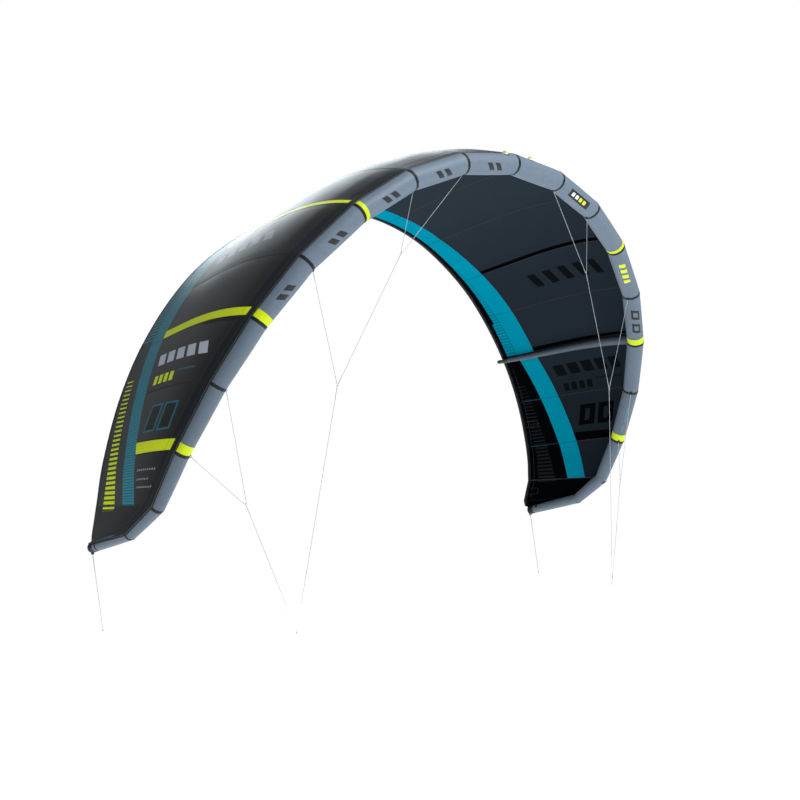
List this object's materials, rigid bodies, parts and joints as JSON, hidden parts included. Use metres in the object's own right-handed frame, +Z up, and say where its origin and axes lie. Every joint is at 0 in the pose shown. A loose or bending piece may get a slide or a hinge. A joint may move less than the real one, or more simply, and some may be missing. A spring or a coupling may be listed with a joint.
{
  "type": "kitesurf kite",
  "caption": "Inflatable kitesurf kite: an air-filled leading edge arc and struts hold a curved canopy, with front bridles and rear pigtails for its flying lines.",
  "frame": {"origin": "centre of the leading edge tube on the plane of symmetry, where the kite is held up", "axes": "+Z up in flight, -Y the flying direction, +X towards the kite's left wing tip"},
  "size_m": [4.418, 1.9342, 3.0142],
  "materials": {
    "dacron": "coated woven cloth",
    "bladder": "thin clear film",
    "ripstop": "coated ripstop cloth",
    "hem": "matt tape",
    "moulding": "matt moulded plastic",
    "valve": "satin moulded plastic",
    "lid": "satin moulded plastic",
    "line": "braided line",
    "webbing": "woven webbing"
  },
  "bodies": {
    "root": {"leading_edge_bladder": "bladder", "centre_strut_sleeve": "dacron", "centre_strut_bladder": "bladder", "centre_strut_end_cap": "moulding", "right_strut_sleeve": "dacron", "right_strut_bladder": "bladder", "right_strut_end_cap": "moulding", "left_strut_sleeve": "dacron", "left_strut_bladder": "bladder", "left_strut_end_cap": "moulding", "right_leading_edge_centre": "dacron", "right_canopy_centre": "ripstop", "right_leading_edge_inner": "dacron", "right_canopy_inner": "ripstop", "right_leading_edge_outer": "dacron", "right_canopy_outer": "ripstop", "right_leading_edge_tip": "dacron", "right_canopy_tip": "ripstop", "right_trailing_edge_hem": "hem", "right_tip_loop": "webbing", "left_leading_edge_centre": "dacron", "left_canopy_centre": "ripstop", "left_leading_edge_inner": "dacron", "left_canopy_inner": "ripstop", "left_leading_edge_outer": "dacron", "left_canopy_outer": "ripstop", "left_leading_edge_tip": "dacron", "left_canopy_tip": "ripstop", "left_trailing_edge_hem": "hem", "left_tip_loop": "webbing", "inflation_valve_body": "valve", "deflation_valve_body": "valve"},
    "right_tip_yoke_body": {"right_tip_yoke": "line"},
    "right_lower_main_body": {"right_tip_yoke_loop": "line", "right_lower_main_line": "line"},
    "right_crown_yoke_body": {"right_crown_yoke": "line"},
    "right_crown_link_body": {"right_crown_yoke_loop": "line", "right_crown_link_line": "line"},
    "right_middle_leg_body": {"right_middle_leg_line": "line"},
    "right_upper_main_body": {"right_main_fork_knot": "line", "right_upper_main_line": "line", "right_front_line_knot": "line"},
    "right_rear_pigtail_body": {"right_rear_pigtail_line": "line", "right_rear_line_knot": "line"},
    "left_tip_yoke_body": {"left_tip_yoke": "line"},
    "left_lower_main_body": {"left_tip_yoke_loop": "line", "left_lower_main_line": "line"},
    "left_crown_yoke_body": {"left_crown_yoke": "line"},
    "left_crown_link_body": {"left_crown_yoke_loop": "line", "left_crown_link_line": "line"},
    "left_middle_leg_body": {"left_middle_leg_line": "line"},
    "left_upper_main_body": {"left_main_fork_knot": "line", "left_upper_main_line": "line", "left_front_line_knot": "line"},
    "left_rear_pigtail_body": {"left_rear_pigtail_line": "line", "left_rear_line_knot": "line"},
    "inflation_valve_lid_body": {"inflation_valve_lid": "lid"},
    "deflation_valve_lid_body": {"deflation_valve_lid": "lid"}
  },
  "joints": [
    {"name": "right_front_bridle_swing", "type": "hinge", "parent": "root", "child": "right_tip_yoke_body", "pos_m": [-2.0766, 0.84445, -1.77454], "axis": [0.2464, -0.5284, 0.8125], "range_deg": [-6, 6]},
    {"name": "right_lower_main_swing", "type": "hinge", "parent": "right_tip_yoke_body", "child": "right_lower_main_body", "pos_m": [-1.828, 0.674, -2.07], "axis": [0.7121, 0.6671, 0.2188], "range_deg": [-3.01, 3.01]},
    {"name": "right_crown_yoke_swing", "type": "hinge", "parent": "root", "child": "right_crown_yoke_body", "pos_m": [-0.86515, 0.07594, -0.2544], "axis": [0.9432, -0.1019, 0.3163], "range_deg": [-2.53, 2.53]},
    {"name": "right_crown_link_swing", "type": "hinge", "parent": "right_crown_yoke_body", "child": "right_crown_link_body", "pos_m": [-0.915, 0.161, -0.619], "axis": [-0.0315, -0.9748, -0.2208], "range_deg": [-0.322, 0.322]},
    {"name": "right_upper_main_swing", "type": "hinge", "parent": "right_crown_link_body", "child": "right_upper_main_body", "pos_m": [-1.34, 0.355, -1.415], "axis": [0.1798, -0.9613, -0.2088], "range_deg": [-1.48, 1.48]},
    {"name": "right_middle_leg_swing", "type": "hinge", "parent": "root", "child": "right_middle_leg_body", "pos_m": [-1.54972, 0.271, -0.75404], "axis": [0.9443, -0.1775, 0.2771], "range_deg": [-3.53, 3.53]},
    {"name": "right_rear_pigtail_swing", "type": "hinge", "parent": "root", "child": "right_rear_pigtail_body", "pos_m": [-2.12447, 1.83208, -2.31311], "axis": [1, 0, 0], "range_deg": [-60, 60]},
    {"name": "left_front_bridle_swing", "type": "hinge", "parent": "root", "child": "left_tip_yoke_body", "pos_m": [2.0766, 0.84445, -1.77454], "axis": [0.2464, 0.5284, -0.8125], "range_deg": [-6, 6]},
    {"name": "left_lower_main_swing", "type": "hinge", "parent": "left_tip_yoke_body", "child": "left_lower_main_body", "pos_m": [1.828, 0.674, -2.07], "axis": [0.7121, -0.6671, -0.2188], "range_deg": [-3.01, 3.01]},
    {"name": "left_crown_yoke_swing", "type": "hinge", "parent": "root", "child": "left_crown_yoke_body", "pos_m": [0.86515, 0.07594, -0.2544], "axis": [0.9432, 0.1019, -0.3163], "range_deg": [-2.53, 2.53]},
    {"name": "left_crown_link_swing", "type": "hinge", "parent": "left_crown_yoke_body", "child": "left_crown_link_body", "pos_m": [0.915, 0.161, -0.619], "axis": [-0.0315, 0.9748, 0.2208], "range_deg": [-0.322, 0.322]},
    {"name": "left_upper_main_swing", "type": "hinge", "parent": "left_crown_link_body", "child": "left_upper_main_body", "pos_m": [1.34, 0.355, -1.415], "axis": [0.1798, 0.9613, 0.2088], "range_deg": [-1.48, 1.48]},
    {"name": "left_middle_leg_swing", "type": "hinge", "parent": "root", "child": "left_middle_leg_body", "pos_m": [1.54972, 0.271, -0.75404], "axis": [0.9443, 0.1775, -0.2771], "range_deg": [-3.53, 3.53]},
    {"name": "left_rear_pigtail_swing", "type": "hinge", "parent": "root", "child": "left_rear_pigtail_body", "pos_m": [2.12447, 1.83208, -2.31311], "axis": [1, 0, 0], "range_deg": [-60, 60]},
    {"name": "inflation_valve_lid_hinge", "type": "hinge", "parent": "root", "child": "inflation_valve_lid_body", "pos_m": [-0.11114, -0.03303, 0.06339], "axis": [0.0171, -0.8987, -0.4383], "range_deg": [0, 130]},
    {"name": "deflation_valve_lid_hinge", "type": "hinge", "parent": "root", "child": "deflation_valve_lid_body", "pos_m": [0.14515, -0.03185, 0.05964], "axis": [-0.0171, -0.8987, -0.4383], "range_deg": [0, 130]}
  ],
  "couplings": [
    {"joint": "right_lower_main_swing", "follows": "right_front_bridle_swing", "ratio": 0.49005},
    {"joint": "right_crown_yoke_swing", "follows": "right_front_bridle_swing", "ratio": 0.41182},
    {"joint": "right_crown_link_swing", "follows": "right_front_bridle_swing", "ratio": 0.05093},
    {"joint": "right_upper_main_swing", "follows": "right_front_bridle_swing", "ratio": 0.23982},
    {"joint": "right_middle_leg_swing", "follows": "right_front_bridle_swing", "ratio": 0.57525},
    {"joint": "left_lower_main_swing", "follows": "left_front_bridle_swing", "ratio": 0.49005},
    {"joint": "left_crown_yoke_swing", "follows": "left_front_bridle_swing", "ratio": 0.41182},
    {"joint": "left_crown_link_swing", "follows": "left_front_bridle_swing", "ratio": 0.05093},
    {"joint": "left_upper_main_swing", "follows": "left_front_bridle_swing", "ratio": 0.23982},
    {"joint": "left_middle_leg_swing", "follows": "left_front_bridle_swing", "ratio": 0.57525}
  ]
}
